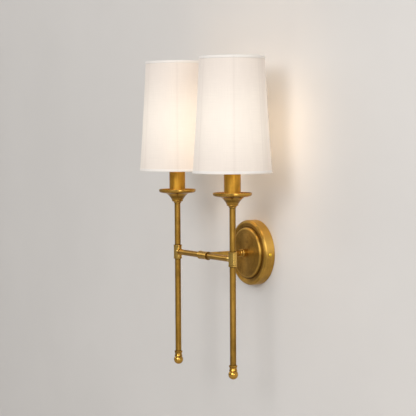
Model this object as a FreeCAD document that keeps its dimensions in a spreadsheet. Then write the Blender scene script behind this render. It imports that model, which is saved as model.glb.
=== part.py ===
# Double arm wall sconce with two fabric shades, in millimetres.
# Frame: origin on the wall plane at the centre of the backplate, +X right along the wall,
# +Y into the wall, +Z up. The two candle columns stand in front of the wall, at -Y.
import FreeCAD, Part
import math
import os
import Sketcher
from FreeCAD import Placement, Rotation, Vector

doc = FreeCAD.newDocument("double_arm_wall_sconce")
sheet = doc.addObject("Spreadsheet::Sheet", "Sizes")

# name, size, what it measures
sizeRows = [
    ("arm_spread", 188.0, "column axis to column axis"),
    ("standoff", 113.0, "wall to column axes"),
    # backplate
    ("plate_dia", 120.0, "outside of the rim"),
    ("plate_depth", 20.0, "wall to the front of the rim"),
    ("plate_wall", 1.5, "spun brass wall"),
    ("plate_shoulder", 5.0, "rounding from rim side to front"),
    ("rim_front", 6.0, "rim front, from its rounding down to the groove"),
    ("disc_rise", 3.0, "disc front beyond the rim front"),
    ("disc_round", 2.8, "edge rounding of the disc"),
    ("groove_drop", 1.5, "groove round the disc, below the rim front"),
    ("groove_width", 2.4, "flat floor of that groove"),
    ("side_screw_level", 10.0, "side screws, from the wall"),
    ("side_screw_dia", 4.0, "thread"),
    ("side_screw_head_dia", 6.4, "head"),
    ("side_screw_head_height", 1.8, "head"),
    ("side_screw_length", 7.0, "under the head"),
    # wall bracket
    ("bracket_width", 22.0, "strap width"),
    ("bracket_thick", 2.0, "strap thickness"),
    ("bracket_lug_gap", 2.0, "lug face to inside of rim"),
    ("bracket_lug_height", 15.0, "lug end from the wall"),
    ("bracket_bend", 2.0, "inside bend radius"),
    ("slot_spacing", 80.0, "wall screw slots, centre to centre"),
    ("slot_length", 16.0, "end to end"),
    ("slot_width", 4.8, "across"),
    ("cable_hole_dia", 14.0, "supply entry"),
    ("earth_offset", 21.0, "earth screw from the centre"),
    ("earth_screw_dia", 4.0, "thread"),
    ("earth_head_dia", 7.6, "head"),
    ("earth_head_height", 2.6, "head"),
    # terminal block
    ("block_offset", 21.0, "block centre from the centre"),
    ("block_length", 20.0, "along the wires"),
    ("block_width", 18.0, "across the poles"),
    ("block_height", 12.0, "out from the strap"),
    ("pole_pitch", 8.0, "pole to pole"),
    ("pole_bore", 4.6, "wire entry"),
    ("pole_level", 6.0, "wire entry from the strap"),
    ("block_screw_pitch", 10.0, "screw to screw along a pole"),
    ("block_screw_dia", 3.6, "screw"),
    ("block_screw_length", 4.5, "screw"),
    ("block_screw_recess", 0.5, "screw below the moulding's top"),
    # stem
    ("stem_dia", 10.6, "tube from backplate to hub"),
    ("stem_bore", 8.0, "wire way"),
    ("stem_tail", 9.0, "tube behind the disc front"),
    ("boss_dia", 14.8, "ring on the disc"),
    ("boss_ring_length", 9.6, "ring"),
    ("boss_neck_dia", 12.4, "groove in front of the ring"),
    ("boss_neck_length", 1.2, "groove"),
    ("boss_collar_dia", 13.8, "small front collar"),
    ("boss_length", 13.4, "whole boss"),
    ("boss_edge", 1.0, "rounding of the ring"),
    ("washer_dia", 20.0, "inside the backplate"),
    ("washer_thick", 1.0, "inside the backplate"),
    ("stem_nut_flats", 14.0, "across flats"),
    ("stem_nut_height", 4.0, "nut"),
    # hub and arms
    ("hub_dia", 15.2, "hub on the crossbar"),
    ("hub_length", 28.0, "along the crossbar"),
    ("hub_rim", 2.2, "rim at each end"),
    ("hub_rim_step", 0.3, "rim beyond the barrel"),
    ("arm_dia", 10.6, "crossbar tube"),
    ("arm_bore", 8.0, "wire way"),
    ("arm_seat", 8.0, "tube into the hub"),
    # tees
    ("tee_dia", 15.4, "rims of the tee"),
    ("tee_height", 26.0, "tee"),
    ("tee_rim", 2.6, "rim at each end"),
    ("tee_rim_step", 0.3, "rim beyond the barrel"),
    ("tee_neck_dia", 12.6, "side neck"),
    ("tee_neck_reach", 9.6, "side neck from the column axis"),
    ("tee_seat", 7.0, "column tubes into the tee"),
    # columns
    ("rod_dia", 11.0, "column tubes"),
    ("rod_bore", 8.6, "wire way"),
    ("rod_top_stub", 5.0, "tube end inside the lampholder"),
    ("finial_level", 186.0, "finial top below the stem"),
    ("finial_seat", 7.0, "rod into the finial"),
    ("finial_ball_dia", 17.3, "ball"),
    ("finial_neck_dia", 12.8, "neck over the ball"),
    ("finial_neck_height", 0.5, "neck over the ball"),
    ("finial_skirt_dia", 14.6, "bell over the neck"),
    ("finial_skirt_height", 4.9, "bell over the neck"),
    ("finial_waist_dia", 12.6, "groove under the ring"),
    ("finial_waist_height", 1.5, "groove under the ring"),
    ("finial_ring_dia", 14.7, "top ring"),
    ("finial_height", 25.4, "whole finial"),
    ("finial_edge", 0.5, "edge break of the ring"),
    # candle cups
    ("cup_level", 90.5, "foot of the bell above the stem"),
    ("bell_foot_dia", 13.2, "foot ring"),
    ("bell_foot_height", 0.9, "foot ring"),
    ("bell_cove_dia", 15.2, "hollow under the bead, at its middle"),
    ("bell_cove_level", 2.5, "from the foot"),
    ("bell_bead_dia", 20.2, "bead"),
    ("bell_bead_level", 3.6, "bead from the foot"),
    ("bell_bead_height", 1.9, "bead"),
    ("bell_bead_bulge", 0.3, "bead's middle beyond its edges"),
    ("bell_waist_dia", 29.2, "flare at the waist level"),
    ("bell_waist_level", 12.6, "from the foot"),
    ("bell_mouth_dia", 44.0, "top of the bell"),
    ("bell_height", 19.0, "bell"),
    ("pan_dia", 68.5, "drip pan"),
    ("pan_height", 7.1, "drip pan"),
    ("pan_wall", 1.2, "drip pan"),
    ("pan_flat_dia", 53.0, "flat floor"),
    ("pan_curl", 3.4, "radial run of the curled edge"),
    ("pan_dish", 1.0, "rise of the floor at the curl"),
    ("pan_lip", 3.0, "upright lip"),
    ("pan_nut_flats", 17.0, "across flats"),
    ("pan_nut_height", 3.0, "nut"),
    ("sleeve_dia", 29.3, "candle sleeve"),
    ("sleeve_wall", 0.8, "candle sleeve"),
    ("sleeve_length", 49.3, "candle sleeve"),
    # lampholders
    ("holder_gap", 0.2, "inside the sleeve, all round"),
    ("holder_wall", 2.6, "moulded wall"),
    ("holder_cap_height", 24.0, "lower half"),
    ("holder_cap_floor", 3.0, "lower half"),
    ("holder_edge", 1.0, "edge break of the lower half"),
    ("flange_dia", 34.0, "shade seat"),
    ("flange_thick", 2.0, "shade seat"),
    ("collar_dia", 27.8, "threaded collar"),
    ("collar_height", 18.0, "above the seat"),
    ("collar_edge", 0.8, "lead-in of the thread"),
    ("socket_depth", 13.0, "contact floor below the seat"),
    ("socket_floor", 2.0, "contact floor"),
    ("socket_bore", 17.2, "lamp socket"),
    ("shell_wall", 1.2, "screw shell"),
    ("shell_length", 23.0, "screw shell"),
    ("contact_dia", 5.0, "centre contact"),
    ("contact_height", 2.2, "centre contact"),
    ("contact_pin_dia", 2.0, "pin through the floor"),
    ("contact_pin_length", 4.0, "pin below the floor"),
    # lamps
    ("lamp_rest_gap", 0.3, "lamp tip to contact"),
    ("lamp_cap_dia", 13.7, "screw cap"),
    ("lamp_cap_height", 16.0, "screw cap"),
    ("lamp_cone_height", 3.0, "insulator"),
    ("lamp_tip_dia", 5.0, "tip"),
    ("lamp_tip_height", 1.5, "tip"),
    ("lamp_tip_edge", 0.6, "rounding of the tip"),
    ("glass_dia", 35.0, "candle lamp"),
    ("glass_length", 80.0, "candle lamp"),
    ("glass_neck_dia", 13.2, "at the cap"),
    ("glass_neck_length", 9.0, "neck"),
    ("glass_neck_flare", 1.4, "radial, over the neck"),
    ("glass_belly_level", 34.0, "widest point above the cap"),
    ("glass_tip_dia", 6.8, "rounded tip"),
    ("glass_wall", 0.9, "glass"),
    ("pillar_height", 40.0, "glass pillar in the lamp"),
    ("pillar_dia", 3.2, "glass pillar in the lamp"),
    ("pillar_foot_height", 8.0, "flared foot of the pillar"),
    ("filament_length", 32.0, "light strip"),
    ("filament_dia", 1.4, "light strip"),
    ("filament_ring_dia", 5.4, "circle of light strips"),
    # shades
    ("shade_bottom_dia", 139.5, "over the tape"),
    ("shade_top_dia", 114.0, "over the tape"),
    ("shade_height", 201.9, "shade"),
    ("shade_wall", 0.8, "fabric on its lining"),
    ("tape_width", 5.0, "edge tape"),
    ("tape_thick", 0.4, "edge tape"),
    ("ring_wire", 3.0, "top and bottom rings"),
    ("ring_inset", 3.2, "ring centre from the shade's edge"),
    ("rib_wire", 2.4, "upright ribs"),
    ("rib_count", 6.0, "upright ribs"),
    ("frame_gap", 0.1, "wire to fabric"),
    ("fitter_rise", 11.3, "fitter ring above the shade's bottom"),
    ("fitter_dia", 42.0, "fitter ring"),
    ("fitter_bore", 29.0, "fitter ring"),
    ("fitter_thick", 1.5, "fitter ring"),
    ("spoke_wire", 3.0, "fitter spokes"),
    ("spoke_seat", 1.0, "spoke end into the ring's edge"),
    ("spoke_count", 3.0, "fitter spokes"),
    ("lock_ring_dia", 39.0, "shade ring"),
    ("lock_ring_bore", 28.4, "shade ring"),
    ("lock_ring_height", 8.0, "shade ring"),
    ("lock_ring_lip", 2.0, "wide foot of the shade ring"),
    ("lock_ring_grip_dia", 35.0, "grip above the foot"),
    ("lock_ring_edge", 0.8, "edge break of the grip"),
    # wiring
    ("wire_dia", 2.4, "insulated wire"),
    ("wire_lift", 1.6, "wire off the stem axis"),
    ("wire_bend", 6.0, "bend radius"),
    ("wire_outset", 1.5, "wire off the column axis"),
    ("wire_entry", 3.0, "wire into the terminal block"),
    ("wire_top", 14.0, "wire end above the lampholder's foot"),
    # fits
    ("joint_gap", 0.05, "radial, brazed and threaded joints"),
    ("screw_gap", 0.3, "radial, screw through a clearance hole"),
]
for row, (alias, value, note) in enumerate(sizeRows, start=1):
    sheet.set("A%d" % row, alias)
    sheet.set("B%d" % row, str(value))
    sheet.set("C%d" % row, note)
    sheet.setAlias("B%d" % row, alias)
doc.recompute()


class Size:
    # A length that knows both its number and the sheet formula it comes from.
    def __init__(self, formula, value):
        self.formula = formula
        self.value = float(value)

    def joined(self, sign, other, value):
        return Size("(%s %s %s)" % (self.formula, sign, asSize(other).formula), value)

    def __add__(self, other):
        return self.joined("+", other, self.value + asSize(other).value)

    def __sub__(self, other):
        return self.joined("-", other, self.value - asSize(other).value)

    def __mul__(self, other):
        return self.joined("*", other, self.value * asSize(other).value)

    def __truediv__(self, other):
        return self.joined("/", other, self.value / asSize(other).value)

    def __neg__(self):
        return Size("(0 - %s)" % self.formula, -self.value)


def asSize(value):
    if isinstance(value, Size):
        return value
    return Size(repr(float(value)), value)


class SizeBook:
    pass


s = SizeBook()
for alias, value, note in sizeRows:
    setattr(s, alias, Size("Sizes." + alias, float(sheet.get(alias))))

zero = asSize(0)
subParts = []


def bind(thing, propertyName, size):
    thing.setExpression(propertyName, asSize(size).formula)


def place(thing, x, y, z, turn=None):
    # puts a sub-part's own origin at a point of the sconce's frame
    thing.Placement = Placement(Vector(0, 0, 0), turn or Rotation())
    for axis, size in (("x", x), ("y", y), ("z", z)):
        if asSize(size).formula != zero.formula:
            bind(thing, "Placement.Base." + axis, size)


def newBody(label, several=False):
    body = doc.addObject("PartDesign::Body", label)
    body.Label = label
    body.AllowCompound = several
    subParts.append(body)
    return body


def newSketch(body, role, name, offset=None):
    sketch = body.newObject("Sketcher::SketchObject", name)
    plane = next(o for o in body.Origin.OriginFeatures if o.Role == role)
    sketch.AttachmentSupport = [(plane, "")]
    sketch.MapMode = "FlatFace"
    if offset is not None:
        bind(sketch, "AttachmentOffset.Base.z", offset)
    return sketch


def pin(sketch, geometry, point, x, y):
    # ties one sketch point to the sketch's origin
    for kind, axis, size in (("DistanceX", -2, asSize(x)), ("DistanceY", -1, asSize(y))):
        if size.formula == zero.formula:
            sketch.addConstraint(Sketcher.Constraint("PointOnObject", geometry, point, axis))
        else:
            index = sketch.addConstraint(
                Sketcher.Constraint(kind, -1, 1, geometry, point, size.value))
            bind(sketch, "Constraints[%d]" % index, size)


def arcThrough(start, middle, end):
    # an arc that always runs anticlockwise, and whether that turned it round
    bx, by = middle.x - start.x, middle.y - start.y
    cx, cy = end.x - start.x, end.y - start.y
    d = 2 * (bx * cy - by * cx)
    ux = (cy * (bx * bx + by * by) - by * (cx * cx + cy * cy)) / d
    uy = (bx * (cx * cx + cy * cy) - cx * (bx * bx + by * by)) / d
    centre = Vector(start.x + ux, start.y + uy, 0)
    circle = Part.Circle(centre, Vector(0, 0, 1), math.hypot(ux, uy))
    turned = d < 0
    first, last = (end, start) if turned else (start, end)
    a1 = math.atan2(first.y - centre.y, first.x - centre.x)
    a2 = math.atan2(last.y - centre.y, last.x - centre.x)
    if a2 < a1:
        a2 += 2 * math.pi
    return Part.ArcOfCircle(circle, a1, a2), turned


def drawOutline(sketch, corners):
    # A closed outline. Each corner is (x, y), or (x, y, (mx, my)) where an arc through
    # (mx, my) leads to the next corner instead of a straight line.
    count = len(corners)
    points = [Vector(asSize(c[0]).value, asSize(c[1]).value, 0) for c in corners]
    starts = []
    ends = []
    for i, corner in enumerate(corners):
        here = points[i]
        there = points[(i + 1) % count]
        if len(corner) == 3:
            via = Vector(asSize(corner[2][0]).value, asSize(corner[2][1]).value, 0)
            arc, turned = arcThrough(here, via, there)
            edge = sketch.addGeometry(arc, False)
            starts.append((edge, 2 if turned else 1))
            ends.append((edge, 1 if turned else 2))
        else:
            edge = sketch.addGeometry(Part.LineSegment(here, there), False)
            starts.append((edge, 1))
            ends.append((edge, 2))
    for i in range(count):
        joint = ends[i] + starts[(i + 1) % count]
        sketch.addConstraint(Sketcher.Constraint("Coincident", *joint))
    for i, corner in enumerate(corners):
        pin(sketch, starts[i][0], starts[i][1], corner[0], corner[1])
        if len(corner) == 3:
            mx, my = asSize(corner[2][0]), asSize(corner[2][1])
            mark = sketch.addGeometry(Part.Point(Vector(mx.value, my.value, 0)), True)
            sketch.addConstraint(Sketcher.Constraint("PointOnObject", mark, 1, starts[i][0]))
            pin(sketch, mark, 1, mx, my)


def drawCircle(sketch, x, y, dia):
    centre = Vector(asSize(x).value, asSize(y).value, 0)
    edge = sketch.addGeometry(
        Part.Circle(centre, Vector(0, 0, 1), dia.value / 2), False)
    pin(sketch, edge, 3, x, y)
    index = sketch.addConstraint(Sketcher.Constraint("Diameter", edge, dia.value))
    bind(sketch, "Constraints[%d]" % index, dia)


def revolve(body, corners, name="turning"):
    # a section in the body's XZ plane, turned once round its Z axis
    sketch = newSketch(body, "XZ_Plane", name + "_section")
    drawOutline(sketch, corners)
    feature = body.newObject("PartDesign::Revolution", name)
    feature.Profile = sketch
    feature.ReferenceAxis = (sketch, ["V_Axis"])
    feature.Angle = 360
    feature.Refine = False
    return feature


def pad(body, sketch, length, name="pad", middle=False):
    feature = body.newObject("PartDesign::Pad", name)
    feature.Profile = sketch
    feature.SideType = "Symmetric" if middle else "One side"
    bind(feature, "Length", length)
    return feature


def cutThrough(body, sketch, name, bothWays=True, reverse=False):
    # a cut that must take material away
    doc.recompute()
    before = body.Shape.Volume
    feature = body.newObject("PartDesign::Pocket", name)
    feature.Profile = sketch
    feature.Type = "ThroughAll"
    feature.SideType = "Symmetric" if bothWays else "One side"
    feature.Reversed = reverse
    doc.recompute()
    if not body.Shape.Volume < before - 0.01:
        raise RuntimeError("%s cuts nothing from %s" % (name, body.Label))
    return feature


def turned(label, corners, x, y, z, turn=None):
    body = newBody(label)
    revolve(body, corners)
    place(body, x, y, z, turn)
    return body


def hollow(body, corners, name):
    # a closed space turned out of a piece
    doc.recompute()
    before = body.Shape.Volume
    sketch = newSketch(body, "XZ_Plane", name + "_section")
    drawOutline(sketch, corners)
    feature = body.newObject("PartDesign::Groove", name)
    feature.Profile = sketch
    feature.ReferenceAxis = (sketch, ["V_Axis"])
    feature.Angle = 360
    doc.recompute()
    if not body.Shape.Volume < before - 0.01:
        raise RuntimeError("%s cuts nothing from %s" % (name, body.Label))


def tube(label, outer, bore, length, x, y, z, turn=None):
    body = newBody(label)
    sketch = newSketch(body, "XY_Plane", "section")
    drawCircle(sketch, 0, 0, outer)
    drawCircle(sketch, 0, 0, bore)
    pad(body, sketch, length, "draw")
    place(body, x, y, z, turn)
    return body


def hexNut(label, flats, bore, height, x, y, z, turn=None):
    body = newBody(label)
    prism = body.newObject("PartDesign::AdditivePrism", "hexagon")
    prism.Polygon = 6
    bind(prism, "Circumradius", flats / math.sqrt(3.0))
    bind(prism, "Height", height)
    sketch = newSketch(body, "XY_Plane", "bore_circle")
    drawCircle(sketch, 0, 0, bore)
    cutThrough(body, sketch, "bore")
    place(body, x, y, z, turn)
    return body


def pattern(body, feature, count, name):
    # equal copies round the body's Z axis
    axis = next(o for o in body.Origin.OriginFeatures if o.Role == "Z_Axis")
    copies = body.newObject("PartDesign::PolarPattern", name)
    copies.Originals = [feature]
    copies.Axis = (axis, [""])
    copies.Angle = 360
    bind(copies, "Occurrences", count)
    body.Tip = copies
    return copies


def slantedWire(body, plane, nearSpot, nearLevel, farSpot, farLevel, dia, name):
    # round wire between two parallel planes, lofted from circle to circle
    near = newSketch(body, plane, name + "_near", nearLevel)
    drawCircle(near, nearSpot[0], nearSpot[1], dia)
    far = newSketch(body, plane, name + "_far", farLevel)
    drawCircle(far, farSpot[0], farSpot[1], dia)
    loft = body.newObject("PartDesign::AdditiveLoft", name)
    loft.Profile = near
    loft.Sections = [far]
    return loft


# Turns that stand a turned piece's own Z axis along another axis of the sconce.
outOfWall = Rotation(Vector(1, 0, 0), 90)      # Z to -Y
toRight = Rotation(Vector(0, 1, 0), 90)        # Z to +X
toLeft = Rotation(Vector(0, 1, 0), -90)        # Z to -X

# Backplate, wall bracket and what is hidden behind the backplate.

rimRadius = s.plate_dia / 2
rimInside = rimRadius - s.plate_wall
shoulder = s.plate_shoulder
discRadius = rimRadius - shoulder - s.rim_front - s.groove_width
discFront = s.plate_depth + s.disc_rise
stemHole = s.stem_dia / 2 + s.joint_gap
grooveLevel = s.plate_depth - s.groove_drop
cut = 1 - math.sqrt(0.5)                        # how far an arc's middle stays off its corner

backplate = newBody("backplate")
innerShoulder = shoulder - s.plate_wall
innerDisc = discRadius - s.plate_wall
revolve(backplate, [
    (rimRadius, 0),
    (rimRadius, s.plate_depth - shoulder,
     (rimRadius - shoulder * cut, s.plate_depth - shoulder * cut)),
    (rimRadius - shoulder, s.plate_depth),
    (discRadius + s.groove_width, grooveLevel),
    (discRadius, grooveLevel),
    (discRadius, discFront - s.disc_round,
     (discRadius - s.disc_round * cut, discFront - s.disc_round * cut)),
    (discRadius - s.disc_round, discFront),
    (stemHole, discFront),
    (stemHole, discFront - s.plate_wall),
    (innerDisc, discFront - s.plate_wall),
    (innerDisc, grooveLevel - s.plate_wall),
    (discRadius + s.groove_width, grooveLevel - s.plate_wall),
    (rimRadius - shoulder, s.plate_depth - s.plate_wall,
     (rimRadius - shoulder + innerShoulder * math.sqrt(0.5),
      s.plate_depth - shoulder + innerShoulder * math.sqrt(0.5))),
    (rimInside, s.plate_depth - shoulder),
    (rimInside, 0),
], "spinning")
sideHoles = newSketch(backplate, "YZ_Plane", "side_hole_circle")
drawCircle(sideHoles, 0, s.side_screw_level, s.side_screw_dia + s.screw_gap * 2)
cutThrough(backplate, sideHoles, "side_holes")
place(backplate, 0, 0, 0, outOfWall)

# The wall bracket is a strap whose two ends are bent out and tapped for the side screws.
bracket = newBody("wall_bracket")
lugFace = rimInside - s.bracket_lug_gap
thick = s.bracket_thick
bend = s.bracket_bend
bendOuter = bend + thick


def bracketCorners():
    right = [
        (lugFace - bendOuter, zero, (lugFace - bendOuter * cut, bendOuter * cut)),
        (lugFace, bendOuter),
        (lugFace, s.bracket_lug_height),
        (lugFace - thick, s.bracket_lug_height),
        (lugFace - thick, bendOuter,
         (lugFace - thick - bend * cut, thick + bend * cut)),
        (lugFace - bendOuter, thick),
    ]
    left = [
        (-(lugFace - bendOuter), thick,
         (-(lugFace - thick - bend * cut), thick + bend * cut)),
        (-(lugFace - thick), bendOuter),
        (-(lugFace - thick), s.bracket_lug_height),
        (-lugFace, s.bracket_lug_height),
        (-lugFace, bendOuter, (-(lugFace - bendOuter * cut), bendOuter * cut)),
        (-(lugFace - bendOuter), zero),
    ]
    return right + left


profile = newSketch(bracket, "XZ_Plane", "bent_strap_edge")
drawOutline(profile, bracketCorners())
pad(bracket, profile, s.bracket_width, "bent_strap", middle=True)
holes = newSketch(bracket, "XY_Plane", "strap_holes")
drawCircle(holes, 0, 0, s.cable_hole_dia)
drawCircle(holes, s.earth_offset, 0, s.earth_screw_dia)
slotRun = (s.slot_length - s.slot_width) / 2
for side in (-1, 1):
    middle = s.slot_spacing / 2 * side
    half = s.slot_width / 2
    drawOutline(holes, [
        (middle - slotRun, -half),
        (middle + slotRun, -half, (middle + slotRun + half, zero)),
        (middle + slotRun, half),
        (middle - slotRun, half, (middle - slotRun - half, zero)),
    ])
cutThrough(bracket, holes, "strap_openings")
tapped = newSketch(bracket, "YZ_Plane", "lug_hole_circle")
drawCircle(tapped, 0, s.side_screw_level, s.side_screw_dia + s.joint_gap * 2)
cutThrough(bracket, tapped, "lug_holes")
place(bracket, 0, 0, 0, outOfWall)


# Two equal side screws, on opposite sides of the rim.
screws = newBody("backplate_side_screws", several=True)
head = s.side_screw_head_height
screwSection = newSketch(screws, "XY_Plane", "screw_section", s.side_screw_level)
headSeat = rimRadius
drawOutline(screwSection, [
    (headSeat - s.side_screw_length, 0),
    (headSeat - s.side_screw_length, s.side_screw_dia / 2),
    (headSeat, s.side_screw_dia / 2),
    (headSeat, s.side_screw_head_dia / 2),
    (headSeat + head * 0.5, s.side_screw_head_dia / 2,
     (headSeat + head * 0.86, s.side_screw_head_dia * 0.42)),
    (headSeat + head, s.side_screw_head_dia * 0.25),
    (headSeat + head, 0),
])
screwTurn = screws.newObject("PartDesign::Revolution", "screw")
screwTurn.Profile = screwSection
screwTurn.ReferenceAxis = (screwSection, ["H_Axis"])
screwTurn.Angle = 360
pattern(screws, screwTurn, asSize(2), "opposite_screws")
place(screws, 0, 0, 0, outOfWall)

# Earth screw on the bracket: a pan head on the strap, its thread through it.
earthRadius = s.earth_screw_dia / 2 - s.joint_gap
earthHead = s.earth_head_dia / 2
turned("earth_screw", [
    (zero, -thick),
    (earthRadius, -thick),
    (earthRadius, zero),
    (earthHead, zero),
    (earthHead, s.earth_head_height * 0.5,
     (earthHead * 0.85, s.earth_head_height * 0.86)),
    (earthHead * 0.5, s.earth_head_height),
    (zero, s.earth_head_height),
], s.earth_offset, -thick, 0, outOfWall)

# Terminal block: two poles with a wire way through each and four clamp screws.
block = newBody("terminal_block")
blockRect = newSketch(block, "XY_Plane", "block_outline")
halfLength = s.block_length / 2
halfWidth = s.block_width / 2
drawOutline(blockRect, [
    (-halfLength, -halfWidth),
    (halfLength, -halfWidth),
    (halfLength, halfWidth),
    (-halfLength, halfWidth),
])
pad(block, blockRect, s.block_height, "moulding")
poles = newSketch(block, "YZ_Plane", "pole_circles")
wells = newSketch(block, "XY_Plane", "screw_well_circles", s.pole_level)
for side in (-1, 1):
    drawCircle(poles, s.pole_pitch / 2 * side, s.pole_level, s.pole_bore)
    for end in (-1, 1):
        drawCircle(wells, s.block_screw_pitch / 2 * end, s.pole_pitch / 2 * side,
                   s.block_screw_dia + s.joint_gap * 2)
cutThrough(block, poles, "wire_ways")
cutThrough(block, wells, "screw_wells", bothWays=False, reverse=True)
place(block, -s.block_offset, -thick, 0, outOfWall)

clamps = newBody("terminal_screws", several=True)
clampStart = s.block_height - s.block_screw_length
clampCircles = newSketch(clamps, "XY_Plane", "clamp_circles", clampStart)
for side in (-1, 1):
    for end in (-1, 1):
        drawCircle(clampCircles, s.block_screw_pitch / 2 * end,
                   s.pole_pitch / 2 * side, s.block_screw_dia)
pad(clamps, clampCircles, s.block_screw_length - s.block_screw_recess, "clamp_screws")
place(clamps, -s.block_offset, -thick, 0, outOfWall)

# Stem: boss, tube, washer and nut through the disc.

ringEnd = s.boss_ring_length
neckEnd = ringEnd + s.boss_neck_length
edge = s.boss_edge
turned("stem_boss", [
    (stemHole, 0),
    (s.boss_dia / 2 - edge, 0, (s.boss_dia / 2 - edge * cut, edge * cut)),
    (s.boss_dia / 2, edge),
    (s.boss_dia / 2, ringEnd - edge * 1.6,
     (s.boss_dia / 2 - edge * 0.5, ringEnd - edge * 0.5)),
    (s.boss_dia / 2 - edge * 1.6, ringEnd),
    (s.boss_neck_dia / 2, ringEnd),
    (s.boss_neck_dia / 2, neckEnd),
    (s.boss_collar_dia / 2, neckEnd),
    (s.boss_collar_dia / 2, s.boss_length - edge * 0.5),
    (s.boss_collar_dia / 2 - edge * 0.5, s.boss_length),
    (stemHole, s.boss_length),
], 0, -discFront, 0, outOfWall)

# The stem's front end is seated in the hub, against the bore that the crossbar runs in.
hubBore = s.arm_dia / 2 + s.joint_gap
stemFront = s.standoff - hubBore - s.joint_gap
stemBack = discFront - s.stem_tail
tube("stem_tube", s.stem_dia, s.stem_bore, stemFront - stemBack, 0, -stemBack, 0, outOfWall)

innerFace = discFront - s.plate_wall
tube("stem_washer", s.washer_dia, s.stem_dia + s.joint_gap * 2, s.washer_thick,
     0, -(innerFace - s.washer_thick), 0, outOfWall)
hexNut("stem_nut", s.stem_nut_flats, s.stem_dia + s.joint_gap * 2, s.stem_nut_height,
       0, -(innerFace - s.washer_thick - s.stem_nut_height), 0, outOfWall)

# Crossbar: hub and two arms.


def rimmedBarrel(dia, rim, step, length):
    # a barrel with a slightly larger rim at each end, along Z, middle at the origin
    r = dia / 2
    end = length / 2
    chamfer = step * 0.8
    return [
        (zero, -end),
        (r - chamfer, -end),
        (r, -(end - chamfer)),
        (r, -(end - rim)),
        (r - step, -(end - rim - step)),
        (r - step, end - rim - step),
        (r, end - rim),
        (r, end - chamfer),
        (r - chamfer, end),
        (zero, end),
    ]


hub = newBody("hub")
revolve(hub, rimmedBarrel(s.hub_dia, s.hub_rim, s.hub_rim_step, s.hub_length), "barrel")
crossBore = newSketch(hub, "XY_Plane", "cross_bore_circle")
drawCircle(crossBore, 0, 0, hubBore * 2)
cutThrough(hub, crossBore, "cross_bore")
stemPort = newSketch(hub, "XZ_Plane", "stem_port_circle")
drawCircle(stemPort, 0, 0, s.stem_dia + s.joint_gap * 2)
cutThrough(hub, stemPort, "stem_port", bothWays=False)
place(hub, 0, -s.standoff, 0, toRight)

armStart = s.hub_length / 2 - s.arm_seat
columnX = s.arm_spread / 2
teeBore = s.rod_dia / 2 + s.joint_gap
armEnd = columnX - teeBore - s.joint_gap
armLength = armEnd - armStart

# Columns: tee, tubes, finial, bell, drip pan and candle sleeve.

tubeStart = s.tee_height / 2 - s.tee_seat
cupLevel = s.cup_level
panLevel = cupLevel + s.bell_height
panFloor = panLevel + s.pan_wall
holderFoot = panFloor + s.pan_nut_height
tubeTop = holderFoot + s.rod_top_stub
sleeveTop = panFloor + s.sleeve_length
seatLevel = sleeveTop + s.flange_thick
floorTop = seatLevel - s.socket_depth
rodHole = s.rod_dia / 2 + s.joint_gap


def bellCorners():
    return [
        (rodHole, 0),
        (s.bell_foot_dia / 2, 0),
        (s.bell_foot_dia / 2, s.bell_foot_height,
         (s.bell_cove_dia / 2, s.bell_cove_level)),
        (s.bell_bead_dia / 2, s.bell_bead_level,
         (s.bell_bead_dia / 2 + s.bell_bead_bulge, s.bell_bead_level + s.bell_bead_height / 2)),
        (s.bell_bead_dia / 2, s.bell_bead_level + s.bell_bead_height,
         (s.bell_waist_dia / 2, s.bell_waist_level)),
        (s.bell_mouth_dia / 2, s.bell_height),
        (rodHole, s.bell_height),
    ]


def panCorners():
    r = s.pan_dia / 2
    w = s.pan_wall
    curl = s.pan_curl
    lipStart = s.pan_height - s.pan_lip
    return [
        (rodHole, 0),
        (s.pan_flat_dia / 2, 0),
        (r - curl, s.pan_dish, (r - curl * 0.25, s.pan_dish + (lipStart - s.pan_dish) * 0.4)),
        (r, lipStart),
        (r, s.pan_height - w * 0.35),
        (r - w * 0.35, s.pan_height),
        (r - w * 0.65, s.pan_height),
        (r - w, s.pan_height - w * 0.35),
        (r - w, lipStart,
         (r - w - (curl - w * 0.4) * 0.25,
          s.pan_dish + w + (lipStart - s.pan_dish - w) * 0.4)),
        (r - w - (curl - w * 0.4), s.pan_dish + w),
        (s.pan_flat_dia / 2, w),
        (rodHole, w),
    ]


def finialCorners():
    # from the lowest point of the ball, upwards
    ball = s.finial_ball_dia / 2
    neck = s.finial_neck_dia / 2
    skirt = s.finial_skirt_dia / 2
    waist = s.finial_waist_dia / 2
    ring = s.finial_ring_dia / 2
    edge = s.finial_edge
    root = Size("sqrt(%s)" % (ball * ball - neck * neck).formula,
                math.sqrt((ball * ball - neck * neck).value))
    neckStart = ball + root
    skirtStart = neckStart + s.finial_neck_height
    waistStart = skirtStart + s.finial_skirt_height
    waistEnd = waistStart + s.finial_waist_height
    top = s.finial_height
    return [
        (zero, zero, (ball, ball)),
        (neck, neckStart),
        (neck, skirtStart),
        (skirt - edge, skirtStart),
        (skirt, skirtStart + edge,
         (waist + (skirt - waist) * 0.3, waistStart - s.finial_skirt_height * 0.35)),
        (waist, waistStart),
        (waist, waistEnd),
        (ring - edge, waistEnd + edge * 0.4),
        (ring, waistEnd + edge * 1.4),
        (ring, top - edge),
        (ring - edge, top),
        (rodHole, top),
        (rodHole, top - s.finial_seat),
        (zero, top - s.finial_seat),
    ]


holderRadius = s.sleeve_dia / 2 - s.sleeve_wall - s.holder_gap
holderInside = holderRadius - s.holder_wall
capTop = holderFoot + s.holder_cap_height


def holderCapCorners():
    return [
        (rodHole, holderFoot),
        (holderRadius - s.holder_edge, holderFoot),
        (holderRadius, holderFoot + s.holder_edge),
        (holderRadius, capTop),
        (holderInside, capTop),
        (holderInside, holderFoot + s.holder_cap_floor),
        (rodHole, holderFoot + s.holder_cap_floor),
    ]


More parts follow.
